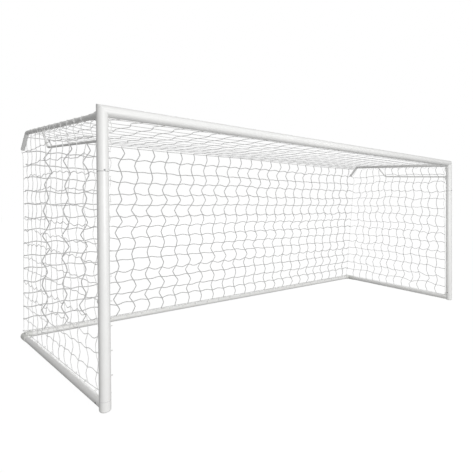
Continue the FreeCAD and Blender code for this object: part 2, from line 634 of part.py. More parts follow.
def screw_shape(length):
    """A domed screw along +Z. The underside of its head is at the origin's height."""
    head_radius = number("Sizes.screw_head_diameter / 2")
    head_height = number("Sizes.screw_head_height")
    shank = Part.makeCylinder(number("Sizes.screw_diameter / 2"), length, vector(0, 0, -length))
    head = Part.makeCylinder(head_radius, head_height)
    rim = [edge for edge in head.Edges if edge.BoundBox.ZMin > head_height - 0.001]
    head = head.makeFillet(head_height * 0.7, rim)
    recess = Part.makeCylinder(head_radius * 0.35, head_height, vector(0, 0, head_height * 0.55))
    return shank.fuse(head).cut(recess).removeSplitter()


def clip_shape():
    """A screw eye that hangs along +Z from the tube's surface."""
    wire = number("Sizes.clip_wire") / 2
    base = Part.makeCone(wire * 2.6, wire * 1.4, CLIP_STEM * 0.6)
    stem = Part.makeCylinder(wire, CLIP_STEM + wire)
    centre = vector(0, 0, CLIP_STEM + CLIP_RING + wire)
    ring = Part.makeTorus(CLIP_RING, wire, centre, vector(1, 0, 0))
    return base.fuse([stem, ring]).removeSplitter()


def set_on(shape, point, direction, along=None):
    """A copy of a shape at a point, its +Z axis along a direction and its +X axis near another."""
    if along is None:
        turn = FreeCAD.Rotation(vector(0, 0, 1), direction)
    else:
        turn = FreeCAD.Rotation(along, direction.cross(along), direction, "ZXY")
    copy = shape.copy()
    copy.Placement = FreeCAD.Placement(point, turn)
    return copy


def add_group(label, solids):
    item = doc.addObject("Part::Feature", label)
    item.Shape = Part.makeCompound(solids)
    item.Label = label
    nodes.append(item)


def side_axes(side):
    """Unit vectors of a side frame: back along it, inwards across it, and up the stay."""
    splay = math.radians(number("Sizes.splay_angle"))
    back = vector(side * math.sin(splay), math.cos(splay), 0)
    inwards = vector(-side * math.cos(splay), math.sin(splay), 0)
    return back, inwards


def make_screws():
    gap = number("Sizes.fit_gap")
    post_out = number(POST_R) + gap
    bar_out = number(BAR_R) + gap
    elbow_out = number(ELBOW_R) + gap
    up = vector(0, 0, 1)
    rear = vector(0, 1, 0)
    rise = math.radians(number("Sizes.stay_rise"))
    joints, corners, feet, bars, elbows, saddles, braces = [], [], [], [], [], [], []
    for side_name, side in SIDES:
        back, inwards = side_axes(side)
        post = vector(side * number(HALF_SPAN), number(FRONT_Y), 0)
        joint_z = number("Sizes.joint_height")
        front_point = post - rear * post_out + up * (joint_z + number(JOINT_SCREW_RISE))
        joints.append(set_on(screw_shape(12), front_point, rear * -1))
        rear_point = post + rear * post_out + up * (joint_z - number(JOINT_SCREW_DROP))
        joints.append(set_on(screw_shape(12), rear_point, rear))
        corner = post + up * number(TOP_AXIS_Z)
        across = vector(-side * number(CORNER_SCREW), 0, 0)
        corners.append(set_on(screw_shape(15), corner + across + rear * post_out, rear))
        corners.append(set_on(screw_shape(15), corner - up * number(CORNER_SCREW) + rear * post_out, rear))
        foot_z = number(f"Sizes.foot_height + Sizes.fit_gap + {FOOT_SCREW_RISE}")
        feet.append(set_on(screw_shape(11), post + inwards * post_out + up * foot_z, inwards))
        bar_z = number(ELBOW_R)
        bar_point = post + back * number(BAR_SCREW_BACK) - inwards * bar_out + up * bar_z
        bars.append(set_on(screw_shape(10), bar_point, inwards * -1))
        elbow_corner = post + back * number(SIDE_LENGTH) + up * (bar_z + elbow_out)
        elbows.append(set_on(screw_shape(9), elbow_corner - back * number(ELBOW_SCREW), up))
        elbows.append(set_on(screw_shape(9), elbow_corner + vector(-side * number(ELBOW_SCREW), 0, 0), up))
        saddle_out = post_out + number("Sizes.saddle_plate") + gap
        stay_z = number("Sizes.stay_height")
        for drop in SADDLE_DROPS:
            saddles.append(set_on(screw_shape(20), post + back * saddle_out + up * (stay_z - number(drop)), back))
        brace_z = number(BRACE_Z)
        braces.append(
            set_on(screw_shape(14), post + back * saddle_out + up * (brace_z - number(BRACE_SCREW_DROP)), back)
        )
        along = back * math.cos(rise) + up * math.sin(rise)
        down = back * math.sin(rise) - up * math.cos(rise)
        clamps = (
            (saddles, stay_z, STAY_SCREW_BACK, STAY_R),
            (braces, brace_z, BRACE_SCREW_BACK, "Sizes.brace_diameter / 2"),
        )
        for group, height, run, radius in clamps:
            out = number(f"{radius} + Sizes.fit_gap + Sizes.socket_wall + Sizes.fit_gap")
            point = post + up * height + along * number(run) + down * out
            group.append(set_on(screw_shape(8), point, down))
    add_group("post_joint_screws", joints)
    add_group("corner_screws", corners)
    add_group("foot_screws", feet)
    add_group("bar_screws", bars)
    add_group("elbow_screws", elbows)
    add_group("stay_socket_screws", saddles)
    add_group("brace_socket_screws", braces)


def spread(first, last, pitch):
    """Even stations from first to last, as near to the pitch as they divide."""
    count = max(1, round((last - first) / pitch))
    return [first + (last - first) * step / count for step in range(count + 1)]


def make_clips():
    gap = number("Sizes.fit_gap")
    pitch = number("Sizes.clip_pitch")
    post_out = number(POST_R) + gap
    bar_out = number(BAR_R) + gap
    half_span = number(HALF_SPAN)
    front_y = number(FRONT_Y)
    eye = clip_shape()
    tilt = math.radians(30)
    up = vector(0, 0, 1)
    rear = vector(0, 1, 0)
    across = vector(1, 0, 0)
    crossbar = []
    for x in spread(-(half_span - 190), half_span - 190, pitch):
        crossbar.append(set_on(eye, vector(x, front_y + post_out, number(TOP_AXIS_Z)), rear, across))
    add_group("net_clips_crossbar", crossbar)
    for side_name, side in SIDES:
        back, inwards = side_axes(side)
        post = vector(side * half_span, front_y, 0)
        out = vector(-side * math.cos(math.radians(16)), math.sin(math.radians(16)), 0)
        stations = spread(number("Sizes.foot_height") + 150, number(BRACE_Z) - 70, pitch * 0.85)
        eyes = [set_on(eye, post + out * post_out + up * z, out, up) for z in stations]
        add_group(f"net_clips_post_{side_name}", eyes)
        out = inwards * math.cos(tilt) + up * math.sin(tilt)
        stations = spread(230, number(f"{SIDE_LENGTH} - Sizes.elbow_side_leg") - 40, pitch)
        axis = post + up * number(ELBOW_R)
        eyes = [set_on(eye, axis + back * run + out * bar_out, out, back) for run in stations]
        add_group(f"net_clips_side_bar_{side_name}", eyes)
    out = vector(0, -math.cos(tilt), math.sin(tilt))
    axis = vector(0, number(REAR_Y), number(ELBOW_R))
    end = number(f"{REAR_HALF} - Sizes.elbow_rear_leg") - 60
    eyes = [set_on(eye, axis + across * x + out * bar_out, out, across) for x in spread(-end, end, pitch)]
    add_group("net_clips_rear_bar", eyes)


# ---- build, check and write --------------------------------------------------------

fill_sheet()
make_crossbar()
make_rear_bar()
for side_name, side in SIDES:
    make_corner_casting(side_name, side)
    make_upper_post(side_name, side)
    make_post_sleeve(side_name, side)
    make_lower_post(side_name, side)
    make_foot(side_name, side)
    make_side_bar(side_name, side)
    make_rear_elbow(side_name, side)
    make_socket(
        "stay_socket", side_name, "Sizes.stay_height", STAY_R, "Sizes.stay_socket_length",
        ("90", "12"), SADDLE_DROPS, STAY_SCREW_BACK, True,
    )
    make_socket(
        "brace_socket", side_name, BRACE_Z, "Sizes.brace_diameter / 2", "Sizes.brace_socket_length",
        ("46", "20"), (BRACE_SCREW_DROP,), BRACE_SCREW_BACK, False,
    )
    make_stay(side_name, side)
    make_stay_cap(side_name, side)
    make_brace(side_name, side)
    make_net_side(side_name, side)
make_net_top()
make_net_rear()
make_screws()
make_clips()
doc.recompute()

faults = []
for item in doc.Objects:
    if "Invalid" in item.State or "Error" in item.State:
        faults.append(f"{item.Name} ({item.Label}): {item.State}")
for item in nodes:
    if item.Shape.isNull() or not item.Shape.isValid():
        faults.append(f"{item.Label}: null or invalid shape")
    elif not item.Shape.Solids:
        faults.append(f"{item.Label}: no solid")
    elif item.TypeId == "PartDesign::Body" and len(item.Shape.Solids) != 1:
        faults.append(f"{item.Label}: {len(item.Shape.Solids)} solids")
if faults:
    raise RuntimeError("; ".join(faults))

os.makedirs("parts", exist_ok=True)
for item in nodes:
    item.Shape.exportStep(f"parts/{item.Label}.step")
box = FreeCAD.BoundBox()
for item in nodes:
    box.add(item.Shape.BoundBox)
    print(f"{item.Label}: {len(item.Shape.Solids)} solid(s), volume {item.Shape.Volume / 1000:.1f} cm3")
print(f"{len(nodes)} nodes, {box.XLength:.1f} x {box.YLength:.1f} x {box.ZLength:.1f} mm")
print(f"from {box.XMin:.1f} {box.YMin:.1f} {box.ZMin:.1f} to {box.XMax:.1f} {box.YMax:.1f} {box.ZMax:.1f}")
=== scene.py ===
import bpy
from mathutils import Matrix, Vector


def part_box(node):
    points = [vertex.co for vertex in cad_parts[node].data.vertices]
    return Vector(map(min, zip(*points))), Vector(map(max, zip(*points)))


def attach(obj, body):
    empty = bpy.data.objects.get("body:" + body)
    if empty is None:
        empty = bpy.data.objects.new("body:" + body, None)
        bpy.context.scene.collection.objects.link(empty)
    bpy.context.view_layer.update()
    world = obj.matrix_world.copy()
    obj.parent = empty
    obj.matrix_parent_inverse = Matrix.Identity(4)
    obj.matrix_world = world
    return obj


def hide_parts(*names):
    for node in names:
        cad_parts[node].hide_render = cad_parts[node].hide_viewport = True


bl_info = {
    "name": "Soccer Goal",
    "version": (1, 0, 0),
    "blender": (4, 5, 0),
    "location": "3D View > Sidebar > Goal",
    "description": "Finishes a packed soccer goal frame: paint, knotted net, ropes and a studio stage",
    "category": "Object",
}

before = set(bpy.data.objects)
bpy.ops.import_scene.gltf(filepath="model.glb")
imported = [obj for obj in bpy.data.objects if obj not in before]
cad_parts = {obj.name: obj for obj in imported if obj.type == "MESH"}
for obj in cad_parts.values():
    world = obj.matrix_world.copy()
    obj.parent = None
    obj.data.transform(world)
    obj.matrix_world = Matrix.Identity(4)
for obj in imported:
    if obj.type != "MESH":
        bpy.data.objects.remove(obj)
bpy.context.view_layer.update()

import math
import random

import bmesh
import bpy
from mathutils import Matrix, Vector

SIDES = (("left", -1), ("right", 1))
BODY = "root"


# ---- places read from the frame, and the side frames' own sizes ----------------


def middle(node):
    low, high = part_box(node)
    return (Vector(low) + Vector(high)) / 2


POST = middle("lower_post_right")
HALF_SPAN = POST.x
FRONT_Y = POST.y
REAR_BAR = middle("rear_bar")
DEPTH = REAR_BAR.y - FRONT_Y
CROSSBAR_Z = middle("crossbar").z
TUBE_R = (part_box("crossbar")[1][1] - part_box("crossbar")[0][1]) / 2
BAR_R = (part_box("rear_bar")[1][2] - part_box("rear_bar")[0][2]) / 2
BAR_Z = REAR_BAR.z
SPLAY = math.radians(7.3)  # each side frame's turn out from straight back
STAY_RISE = math.radians(4.9)
STAY_Z = 2.015
STAY_R = 0.020
BEND_RUN = 1.773  # from the post back to the stay's bend
LEG_DROP = math.radians(42)  # how steeply its rear leg falls
BAR_RUN = DEPTH / math.cos(SPLAY)


def in_side(side, run, out, height):
    """A point of a side frame: run back along it, out from its plane, at a height."""
    x = HALF_SPAN + run * math.sin(SPLAY) + out * math.cos(SPLAY)
    y = FRONT_Y + run * math.cos(SPLAY) - out * math.sin(SPLAY)
    return Vector((side * x, y, height))


def stay_height(run):
    """Height of the stay's axis, rear leg included."""
    top = STAY_Z + min(run, BEND_RUN) * math.tan(STAY_RISE)
    return top - max(0.0, run - BEND_RUN) * math.tan(LEG_DROP)


def fade(distance, reach):
    """1 at no distance, falling away over the reach."""
    return math.exp(-max(distance, 0.0) / reach)


def mix(a, b, share):
    return a + (b - a) * share


# ---- settings ------------------------------------------------------------------


class GoalFinish(bpy.types.PropertyGroup):
    frame_paint: bpy.props.FloatVectorProperty(
        name="Frame paint", description="Powder coat of the posts, crossbar and ground bars",
        subtype="COLOR", size=3, min=0.0, max=1.0, default=(0.83, 0.83, 0.82),
    )
    stay_paint: bpy.props.FloatVectorProperty(
        name="Stay paint", description="Powder coat of the stays, braces and their sockets",
        subtype="COLOR", size=3, min=0.0, max=1.0, default=(0.80, 0.80, 0.79),
    )
    elbow_paint: bpy.props.FloatVectorProperty(
        name="Elbow colour", description="Moulded grey of the rear elbows",
        subtype="COLOR", size=3, min=0.0, max=1.0, default=(0.68, 0.685, 0.66),
    )
    # Painted shade: the net is one twine, and the rear net's colour is greyed for how that panel is lit
    rear_cord_painted_shade: bpy.props.FloatVectorProperty(
        name="Cord colour", description="Twine of the net",
        subtype="COLOR", size=3, min=0.0, max=1.0, default=(0.60, 0.60, 0.597),
    )
    # Painted light: the left side net's twine is lightened for how that panel is lit
    left_cord_painted_light: bpy.props.FloatVectorProperty(
        name="Left cord colour", description="Twine of the left side net",
        subtype="COLOR", size=3, min=0.0, max=1.0, default=(0.80, 0.80, 0.795),
    )
    # Painted shade: the right side net's twine is darkened for its shaded inner face
    right_cord_painted_shade: bpy.props.FloatVectorProperty(
        name="Right cord colour", description="Twine of the right side net",
        subtype="COLOR", size=3, min=0.0, max=1.0, default=(0.28, 0.28, 0.278),
    )
    # Painted shade: the top net's twine is greyed for how that panel is lit
    top_cord_painted_shade: bpy.props.FloatVectorProperty(
        name="Top cord colour", description="Twine of the top net",
        subtype="COLOR", size=3, min=0.0, max=1.0, default=(0.50, 0.50, 0.497),
    )
    border_colour: bpy.props.FloatVectorProperty(
        name="Border colour", description="Thin white cord sewn along the borders",
        subtype="COLOR", size=3, min=0.0, max=1.0, default=(0.80, 0.80, 0.79),
    )
    coat_roughness: bpy.props.FloatProperty(
        name="Paint roughness", description="How satin the powder coat is",
        subtype="FACTOR", min=0.0, max=1.0, default=0.38,
    )


class GoalNet(bpy.types.PropertyGroup):
    twine: bpy.props.FloatProperty(
        name="Rear twine", description="Diameter of the rear net's twine", unit="LENGTH",
        min=0.002, max=0.014, default=0.0112,
    )
    side_twine: bpy.props.FloatProperty(
        name="Side twine", description="Diameter of the side nets' twine", unit="LENGTH",
        min=0.002, max=0.012, default=0.0054,
    )
    top_twine: bpy.props.FloatProperty(
        name="Top twine", description="Diameter of the top net's twine", unit="LENGTH",
        min=0.002, max=0.01, default=0.0042,
    )
    rope: bpy.props.FloatProperty(
        name="Border rope", description="Diameter of the border ropes", unit="LENGTH",
        min=0.004, max=0.016, default=0.008,
    )
    columns_across: bpy.props.IntProperty(
        name="Meshes across", description="Meshes between the two sides", min=4, max=60, default=28,
    )
    columns_deep: bpy.props.IntProperty(
        name="Meshes deep", description="Meshes from the mouth to the back", min=4, max=30, default=13,
    )
    rows_down: bpy.props.IntProperty(
        name="Meshes down", description="Meshes from the top to the ground", min=4, max=30, default=15,
    )
    wave: bpy.props.FloatProperty(
        name="Wave", description="Sideways swing of the twine in the rear net", unit="LENGTH",
        min=0.0, max=0.08, default=0.042,
    )
    side_wave: bpy.props.FloatProperty(
        name="Side wave", description="Sideways swing of the twine in the side nets", unit="LENGTH",
        min=0.0, max=0.06, default=0.032,
    )


class GoalStage(bpy.types.PropertyGroup):
    lens: bpy.props.FloatProperty(
        name="Lens", description="Focal length of the camera", unit="CAMERA",
        min=10.0, max=200.0, default=28.15,
    )
    floor_colour: bpy.props.FloatVectorProperty(
        name="Floor", description="Pale floor under the goal",
        subtype="COLOR", size=3, min=0.0, max=1.0, default=(0.95, 0.95, 0.95),
    )


# ---- shader maths ----------------------------------------------------------------


class Value:
    """A socket of a node tree, with arithmetic that adds Math nodes."""

    def __init__(self, shader, socket):
        self.shader = shader
        self.socket = socket

    def _math(self, operation, left, right=None, clamp=False):
        inputs = {0: left} if right is None else {0: left, 1: right}
        return self.shader.add("ShaderNodeMath", inputs, operation=operation, use_clamp=clamp)

    def __add__(self, other):
        return self._math("ADD", self, other)

    def __radd__(self, other):
        return self._math("ADD", other, self)

    def __sub__(self, other):
        return self._math("SUBTRACT", self, other)

    def __rsub__(self, other):
        return self._math("SUBTRACT", other, self)

    def __mul__(self, other):
        return self._math("MULTIPLY", self, other)

    def __rmul__(self, other):
        return self._math("MULTIPLY", other, self)

    def __truediv__(self, other):
        return self._math("DIVIDE", self, other)

    def __rtruediv__(self, other):
        return self._math("DIVIDE", other, self)

    def between(self, low, high):
        """0 below low, 1 above high, smooth between."""
        inputs = {"Value": self, "From Min": low, "From Max": high}
        return self.shader.add("ShaderNodeMapRange", inputs, interpolation_type="SMOOTHSTEP")


class Shader:
    """A node material built from Python expressions."""

    def __init__(self, name):
        self.material = bpy.data.materials.new(name)
        self.material.use_nodes = True
        self.tree = self.material.node_tree
        self.surface = self.tree.nodes["Principled BSDF"]
        self.place = self.add("ShaderNodeTexCoord", {}, output="Object")

    def add(self, kind, inputs, output=0, **settings):
        """Any node: its settings first, then the values or links of its sockets."""
        node = self.tree.nodes.new(kind)
        for key, value in settings.items():
            setattr(node, key, value)
        for key, value in inputs.items():
            self.feed(node.inputs[key], value)
        return Value(self, node.outputs[output])

    def feed(self, socket, value):
        if isinstance(value, Value):
            self.tree.links.new(value.socket, socket)
        elif hasattr(value, "__len__") and len(value) == 3 and socket.type == "RGBA":
            socket.default_value = (*value, 1.0)
        else:
            socket.default_value = value

    def set(self, **values):
        for key, value in values.items():
            self.feed(self.surface.inputs[key.replace("_", " ")], value)

    def stretched(self, scale):
        return self.add("ShaderNodeMapping", {"Vector": self.place, "Scale": scale})

    def noise(self, scale, detail=3.0, vector=None, roughness=0.55):
        inputs = {"Vector": vector or self.place, "Scale": scale, "Detail": detail, "Roughness": roughness}
        return self.add("ShaderNodeTexNoise", inputs, output="Fac")

    def mix_colour(self, share, first, second):
        node = self.tree.nodes.new("ShaderNodeMix")
        node.data_type = "RGBA"
        for socket, value in ((node.inputs[0], share), (node.inputs[6], first), (node.inputs[7], second)):
            self.feed(socket, value)
        return Value(self, node.outputs[2])

    def bump(self, height, strength, distance):
        inputs = {"Height": height, "Strength": strength, "Distance": distance}
        self.set(Normal=self.add("ShaderNodeBump", inputs, output="Normal"))


def shade(colour, factor):
    return tuple(min(1.0, channel * factor) for channel in colour)


def powder_coat(name, colour, roughness):
    """Satin powder coat: a faint orange peel, soft mottling, dust low down and rubbed patches."""
    shader = Shader(name)
    peel = shader.noise(520.0, detail=2.0)
    mottle = shader.noise(3.2, detail=5.0)
    scuff = shader.noise(38.0, detail=6.0, vector=shader.stretched((1.0, 1.0, 0.35))).between(0.60, 0.74)
    height = shader.add("ShaderNodeSeparateXYZ", {"Vector": shader.place}, output="Z")
    low = 1.0 - height.between(0.0, 0.45)
    dust = low * shader.noise(14.0, detail=5.0).between(0.42, 0.72)
    base = shader.mix_colour(mottle.between(0.3, 0.75), shade(colour, 0.975), shade(colour, 1.01))
    base = shader.mix_colour(scuff * 0.30, base, shade(colour, 0.90))
    dusty = (colour[0] * 0.90, colour[1] * 0.885, colour[2] * 0.85)
    base = shader.mix_colour(dust * 0.35, base, dusty)
    shader.set(Base_Color=base, Metallic=0.0, Roughness=roughness + scuff * 0.14 + dust * 0.18)
    shader.surface.inputs["Coat Weight"].default_value = 0.12
    shader.surface.inputs["Coat Roughness"].default_value = 0.22
    shader.bump(peel + scuff * 0.6, 0.10, 0.0006)
    return shader.material


def moulded_plastic(name, colour, roughness):
    """Moulded plastic with a fine texture and faint flow marks."""
    shader = Shader(name)
    grain = shader.noise(900.0, detail=2.0)
    flow = shader.noise(9.0, detail=4.0, vector=shader.stretched((1.0, 0.3, 1.0)))
    base = shader.mix_colour(flow.between(0.3, 0.7), shade(colour, 0.94), shade(colour, 1.04))
    shader.set(Base_Color=base, Roughness=roughness + grain * 0.10)
    shader.bump(grain, 0.20, 0.0004)
    return shader.material


def cast_alloy(name, colour):
    """Sand-blasted casting."""
    shader = Shader(name)
    grain = shader.noise(420.0, detail=4.0)
    cloud = shader.noise(12.0, detail=4.0)
    base = shader.mix_colour(cloud.between(0.3, 0.7), shade(colour, 0.9), shade(colour, 1.05))
    shader.set(Base_Color=base, Metallic=0.85, Roughness=0.42 + grain * 0.16)
    shader.bump(grain, 0.35, 0.0008)
    return shader.material


def plated_screw(name, colour):
    """Dark plated steel, brighter where a driver has worn it."""
    shader = Shader(name)
    wear = shader.noise(260.0, detail=5.0).between(0.56, 0.70)
    base = shader.mix_colour(wear, colour, shade(colour, 2.2))
    shader.set(Base_Color=base, Metallic=0.9, Roughness=0.46 - wear * 0.14)
    shader.bump(shader.noise(700.0), 0.15, 0.0003)
    return shader.material


def twisted_twine(name, colour, lay):
    """Twisted polypropylene twine: the strands' lay along the cord, with painted shade in the grooves
    between strands and painted light on their crowns, fuzz and weathering.
    """
    shader = Shader(name)
    strands = []
    for direction in ((1.0, 0.0, 1.0), (0.0, 1.0, -1.0)):
        turned = shader.stretched(direction)
        inputs = {"Vector": turned, "Scale": lay, "Distortion": 1.2, "Detail": 1.0}
        strands.append(shader.add("ShaderNodeTexWave", inputs, output="Fac", bands_direction="DIAGONAL"))
    lay_height_and_groove_shade = strands[0] * 0.5 + strands[1] * 0.5
    fuzz = shader.noise(1400.0, detail=2.0)
    weather = shader.noise(2.3, detail=4.0)
    # Painted shade and light: the base colour follows the lay's relief, darker in the grooves and lighter
    # on the crowns
    base = shader.mix_colour(lay_height_and_groove_shade, shade(colour, 0.80), shade(colour, 1.12))
    base = shader.mix_colour(weather.between(0.35, 0.7) * 0.30, base, shade(colour, 0.82))
    shader.set(Base_Color=base, Roughness=0.78 + fuzz * 0.12)
    shader.surface.inputs["Sheen Weight"].default_value = 0.15
    shader.bump(lay_height_and_groove_shade + fuzz * 0.25, 0.55, 0.0012)
    return shader.material


def paint_nodes(material, nodes):
    for node in nodes:
        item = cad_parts[node]
        slots = item.data.materials
        if not slots:
            slots.append(material)
        for index in range(len(slots)):
            item.material_slots[index].material = material


def both(*stems):
    return [f"{stem}_{side}" for stem in stems for side, _ in SIDES]


# ---- making cords ----------------------------------------------------------------


def finished(bm, name, material, slot, *replaced):
    """A named piece from a bmesh, riding on the goal."""
    mesh = bpy.data.meshes.new(name)
    bm.to_mesh(mesh)
    bm.free()
    mesh.shade_smooth()
    mesh.materials.append(material)
    piece = bpy.data.objects.new(name, mesh)
    bpy.context.scene.collection.objects.link(piece)
    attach(piece, BODY)
    if replaced:
        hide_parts(*replaced)
    return piece


def cord_mesh(paths, radius, sides=1):
    """A mesh of round cords along paths of points, their ends capped."""
    curve = bpy.data.curves.new("cords", "CURVE")
    curve.dimensions = "3D"
    curve.bevel_depth = radius
    curve.bevel_resolution = sides
    curve.use_fill_caps = True
    for path in paths:
        spline = curve.splines.new("POLY")
        spline.points.add(len(path) - 1)
        for point, place in zip(spline.points, path):
            point.co = (*place, 1.0)
    holder = bpy.data.objects.new("cords", curve)
    mesh = bpy.data.meshes.new_from_object(holder)
    bpy.data.objects.remove(holder)
    bpy.data.curves.remove(curve)
    return mesh


def cord_piece(paths, radius):
    """A bmesh of round cords a little smoother than the net's own."""
    bm = bmesh.new()
    mesh = cord_mesh(paths, radius, sides=2)
    bm.from_mesh(mesh)
    bpy.data.meshes.remove(mesh)
    return bm


def ring_mesh(ring_radius, wire_radius, steps, segments):
    """A low ring, spun from a small circle."""
    bm = bmesh.new()
    turn = Matrix.Translation((ring_radius, 0, 0)) @ Matrix.Rotation(math.pi / 2, 4, "X")
    circle = bmesh.ops.create_circle(bm, radius=wire_radius, segments=segments, matrix=turn)
    edges = list({edge for vert in circle["verts"] for edge in vert.link_edges})
    bmesh.ops.spin(
        bm, geom=edges + circle["verts"], axis=(0, 0, 1), cent=(0, 0, 0),
        angle=2 * math.pi, steps=steps, use_merge=True,
    )
    bmesh.ops.remove_doubles(bm, verts=bm.verts, dist=1e-6)
    bmesh.ops.recalc_face_normals(bm, faces=bm.faces)
    mesh = bpy.data.meshes.new("ring")
    bm.to_mesh(mesh)
    bm.free()
    return mesh


KNOT_RADIUS = 0.90  # a wrap's radius and its cord's, as shares of the twine's
KNOT_WIRE = 0.62


def add_knots(bm, places, radius):
    """Each knot is two wraps that cross: places are (point, direction of one cord, other cord)."""
    ring = ring_mesh(radius * KNOT_RADIUS, radius * KNOT_WIRE, 7, 5)
    for point, first, second in places:
        normal = first.cross(second).normalized()
        for lean in (first + second, first - second):
            lean = lean.normalized()
            turn = Matrix((lean.cross(normal), normal, lean)).transposed().to_4x4()
            old = len(bm.verts)
            bm.from_mesh(ring)
            bm.verts.ensure_lookup_table()
            bmesh.ops.transform(bm, matrix=Matrix.Translation(point) @ turn, verts=bm.verts[old:])
    bpy.data.meshes.remove(ring)


def swing(phase):
    """A wave with pointed crests, +1 and -1 at odd quarters."""
    angle = math.pi * phase
    return 0.25 * math.sin(angle) + 0.75 * (2 / math.pi) * math.asin(math.sin(angle))


class Panel:
    """A panel of knotted mesh over a surface given by place(across, down), both from 0 to 1."""

    def __init__(self, place, columns, rows, wave, sag, seed, slack=0.006):
        self.place = place
        self.columns = columns
        self.rows = rows
        self.wave = wave
        self.sag = sag
        self.random = random.Random(seed)
        self.shift = {}
        self.droop = [self.one_droop() for _ in range(rows + 1)]
        for row in range(rows + 1):
            for column in range(columns + 1):
                inside = 0 < row < rows and 0 < column < columns
                size = slack if inside else slack * 0.2
                drift = Vector((self.random.gauss(0, size), 0, self.random.gauss(0, size)))
                self.shift[column, row] = drift

    def one_droop(self):
        """How a row hangs between its knots: most sag, some are pulled up a little."""
        return self.random.uniform(0.2, 1.0) * self.random.choice((-0.5, 1.0))

    def drift(self, across, down):
        """Slow drift of the mesh away from a perfect grid."""
        column = across * self.columns
        row = down * self.rows
        left = min(int(column), self.columns - 1)
        top = min(int(row), self.rows - 1)
        right_share = column - left
        low_share = row - top
        upper = self.shift[left, top].lerp(self.shift[left + 1, top], right_share)
        lower = self.shift[left, top + 1].lerp(self.shift[left + 1, top + 1], right_share)
        return upper.lerp(lower, low_share)

    def frame_at(self, across, down):
        """The point, and unit directions across and down, of the surface."""
        small = 0.002
        here = self.place(across, down)
        left, right = max(0.0, across - small), min(1.0, across + small)
        high, low = max(0.0, down - small), min(1.0, down + small)
        side = (self.place(right, down) - self.place(left, down)).normalized()
        fall = (self.place(across, low) - self.place(across, high)).normalized()
        return here, side, fall

    def point(self, across, down, aside=0.0, below=0.0):
        here, side, fall = self.frame_at(across, down)
        drift = self.drift(across, down)
        return here + side * (aside + drift.x) + fall * (below + drift.z)

    def down_cords(self, steps=8):
        """The cords that swing down the panel; border cords stand in for the two at its sides."""
        paths = []
        for column in range(1, self.columns):
            across = column / self.columns
            path = []
            for step in range(self.rows * steps + 1):
                phase = step / steps
                strength = self.wave * (0.75 + 0.25 * math.sin(0.9 * phase + column * 0.37))
                path.append(self.point(across, phase / self.rows, aside=strength * swing(phase)))
            paths.append(path)
        return paths

    def across_cords(self, steps=6):
        """The cords that sag across it, without the first and last, which are ropes or lacing."""
        paths = []
        for row in range(1, self.rows):
            size = self.sag * self.droop[row]
            down = row / self.rows
            path = []
            for step in range(self.columns * steps + 1):
                phase = step / steps
                dip = size * abs(math.sin(math.pi * phase))
                dip += 0.3 * self.sag * math.sin(2 * math.pi * phase + row)
                path.append(self.point(phase / self.columns, down, below=dip))
            paths.append(path)
        return paths

    def knots(self):
        places = []
        for row in range(self.rows + 1):
            for column in range(self.columns + 1):
                across = column / self.columns
                down = row / self.rows
                _, side, fall = self.frame_at(across, down)
                places.append((self.point(across, down), side, fall))
        return places

    def build(self, radius):
        """The panel's twine and knots as one bmesh."""
        bm = bmesh.new()
        cords = cord_mesh(self.down_cords() + self.across_cords(), radius)
        bm.from_mesh(cords)
        bpy.data.meshes.remove(cords)
        add_knots(bm, self.knots(), radius)
        return bm


# ---- where the panels hang -----------------------------------------------------------

SAG = 0.020  # how far a row of the rear and side nets hangs between knots
TOP_SAG = 0.012
CLIP_REACH = 0.0143
NET_FRONT = TUBE_R + CLIP_REACH
NET_LOW = BAR_Z + BAR_R + 0.012
ROPE_RUN = BEND_RUN + 0.040
ROPE_Z = stay_height(ROPE_RUN) - 0.004
ROPE_SWAG = 0.012  # dip of the rope behind the stays
ROPE_SET_IN = STAY_R * 0.4
BAR_SET_IN = 0.006
BAR_SET_BACK = BAR_R * 0.55
LEG_REACH = 0.085
LEG_SPREAD = 0.10
LEG_SHARE = 12  # the rear legs touch a twelfth of the nets' height
LEG_PEAK = 0.62
REAR_BELLY = 0.045
TOP_DIP = 0.020
STAY_COVER = 0.004
LIFT_SPREAD = 0.09
LIFT_EDGE = 0.01
LIFT_RATE = 6  # the top net is up on the stays a sixth of the way back
SIDE_START = 0.035
SIDE_LOW_START = 0.030
SIDE_LOW_STOP = 0.010
SIDE_DEPTH = 1.9
SIDE_TOP = CROSSBAR_Z + 0.07
SIDE_DRAPE = STAY_R + 0.006
SIDE_TUCK = -0.014
SIDE_BELLY = 0.010
POST_LINE = -0.048  # the clips' line, inside the side frame's plane
POST_SPREAD = 0.16


def leg_push(down, from_edge):
    """How far the stays' rear legs push the nets back, near the top of the corner only."""
    share = 1 - abs(min(1.0, down * LEG_SHARE) - LEG_PEAK) / LEG_PEAK
    return max(0.0, share) * LEG_REACH * fade(from_edge, LEG_SPREAD)


def rear_place(across, down):
    """Rear net: from the rope behind the stays down to the rear bar, pushed back by the legs' ends."""
    side = across * 2 - 1
    top = in_side(1, ROPE_RUN, -ROPE_SET_IN, ROPE_Z)
    half = mix(top.x, in_side(1, BAR_RUN, 0.0, 0.0).x - BAR_SET_IN, down)
    back = mix(ROPE_RUN * math.cos(SPLAY), DEPTH - BAR_SET_BACK, down)
    back += leg_push(down, (1 - abs(side)) * half)
    belly = REAR_BELLY * math.sin(math.pi * down) * (1 - side * side)
    z = mix(ROPE_Z, NET_LOW, down)
    z -= ROPE_SWAG * math.sin(math.pi * abs(side)) * (1 - down)
    return Vector((side * half, FRONT_Y + back + belly, z))


